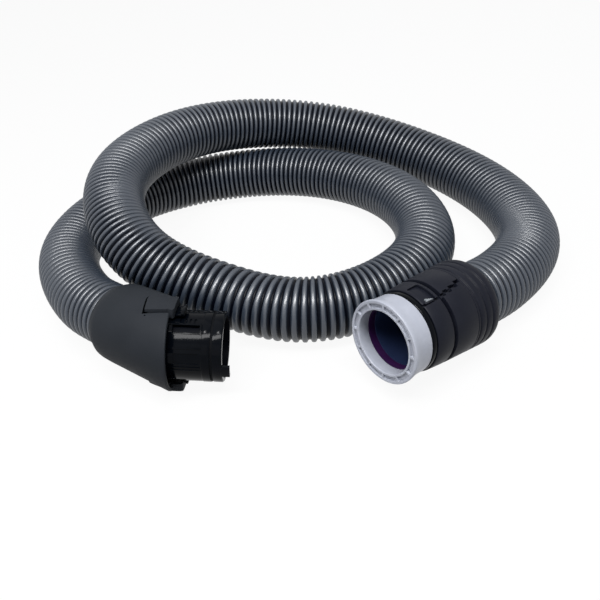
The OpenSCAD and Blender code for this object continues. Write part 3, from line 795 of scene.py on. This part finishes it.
def lamp(name, place, target, size, power):
    data = bpy.data.lights.new(name, "AREA")
    data.shape = "RECTANGLE"
    data.size, data.size_y = size
    data.energy = power
    made = bpy.data.objects.new(name, data)
    bpy.context.scene.collection.objects.link(made)
    made.location = place
    made.rotation_euler = (Vector(target) - Vector(place)).to_track_quat("-Z", "Y").to_euler()


def studio():
    bpy.context.scene.view_settings.view_transform = "Standard"
    paint = Paint(bpy.data.worlds.new("studio"), "ShaderNodeOutputWorld")
    room = paint.node("ShaderNodeBackground",
                      inputs={"Color": rgba(0.9, 0.93, 1.0), "Strength": 0.4})
    backdrop = paint.node("ShaderNodeBackground",
                          inputs={"Color": rgba(1, 1, 1), "Strength": 1.0})
    bpy.context.scene.world = paint.show(paint.blend(paint.seen(), room, backdrop))
    lamp("strip light", (-0.11, -0.38, 1.15), (-0.11, 0.1, 0), (1.2, 0.24), 30)
    lamp("spot light", (-0.05, -0.12, 1.3), (-0.05, 0, 0), (0.12, 0.12), 3.5)
    lamp("wide softbox", (-0.3, 0.3, 1.5), (0, 0.1, 0), (1.6, 1.2), 4)
    lamp("front fill", (-0.5, -1.1, 0.7), (0, 0, 0.02), (1.2, 0.8), 1.5)


# ---- all together ----

make_camera()
hose_piece(hose_material())

CHARCOAL = moulded("charcoal shell", rgba(0.0078, 0.0094, 0.0120),
                   rgba(0.0098, 0.0114, 0.0143), 0.60, 2200, 0.0002, 0.10)
GLOSS = moulded("glossy black", rgba(0.0006, 0.0010, 0.0018), rgba(0.0011, 0.0016, 0.0027),
                0.13, 700, 0.00005, 0.05)
GRIP = moulded("grip black", rgba(0.0036, 0.0042, 0.0076), rgba(0.0050, 0.0058, 0.0096),
               0.48, 1800, 0.00012, 0.10)
DARK = moulded("inner plastic", rgba(0.0006, 0.0009, 0.0020), rgba(0.0010, 0.0014, 0.0028),
               0.5, 1200, 0.0001, 0.03)
NAVY = moulded("inner navy plastic", rgba(0.0085, 0.0140, 0.0380), rgba(0.0115, 0.0180, 0.0470),
               0.45, 1200, 0.0001, 0.12)
WHITE = moulded("milky plastic", rgba(0.212, 0.224, 0.262), rgba(0.252, 0.264, 0.302),
                0.38, 900, 0.00006, 0.4)
# painted sheen: the liner's dark plum colour stands in for the purple sheen in the bore
PAINTED_PLUM_SHEEN = moulded("liner with painted plum sheen", rgba(0.012, 0.003, 0.022), rgba(0.020, 0.005, 0.032),
               0.34, 900, 0.00006, 0.2)
PALE = moulded("light grey plastic", rgba(0.10, 0.11, 0.12), rgba(0.13, 0.14, 0.15),
               0.4, 1200, 0.0001, 0.4)
BEARING = moulded("bearing plastic", rgba(0.60, 0.58, 0.52), rgba(0.66, 0.63, 0.57),
                  0.4, 1200, 0.0001, 0.5)
# the seal rubber is black, and its shine is turned almost off so the seal groove stays dark: partly
# the seal's own black, partly painted shade
RUBBER_WITH_PAINTED_SHADE = moulded("seal rubber with painted shade", rgba(0.0012, 0.0014, 0.0020), rgba(0.0020, 0.0023, 0.0030),
                 0.7, 1500, 0.0002, 0.04)
STEEL = metal("spring steel", rgba(0.55, 0.55, 0.56), 0.25)

shroud(CHARCOAL)
release_button("upper_button", "button_top", "release_button_top", 0,
               CAP_NEAR, BUTTON_FRONT, CHARCOAL, GLOSS)
release_button("lower_button", "button_bottom", "release_button_bottom", pi,
               BUTTON_HALF, BUTTON_FRONT + 3, CHARCOAL, GLOSS)
cage(GLOSS)
grip_cuff(GRIP)
collar_skin(GRIP)
neck_ring(GRIP)
lip_ring(GLOSS)
bearing_ring(WHITE)
catch_piece(GRIP, PALE)

CAD_FINISH = {
    "machine_sleeve": DARK, "handle_sleeve": NAVY, "duct": DARK, "bulkhead": DARK,
    "core": NAVY, "spigot_seal": RUBBER_WITH_PAINTED_SHADE, "machine_seal": RUBBER_WITH_PAINTED_SHADE, "handle_seal": RUBBER_WITH_PAINTED_SHADE,
    "machine_bush": BEARING, "handle_bush": BEARING, "machine_clip": DARK,
    "handle_clip": DARK, "spring_top": STEEL, "spring_bottom": STEEL, "catch_spring": STEEL,
    "pin_top": STEEL, "pin_bottom": STEEL, "liner": PAINTED_PLUM_SHEEN,
}
for node, material in CAD_FINISH.items():
    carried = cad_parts[node].data
    carried.materials.clear()
    carried.materials.append(material)

floor()
studio()
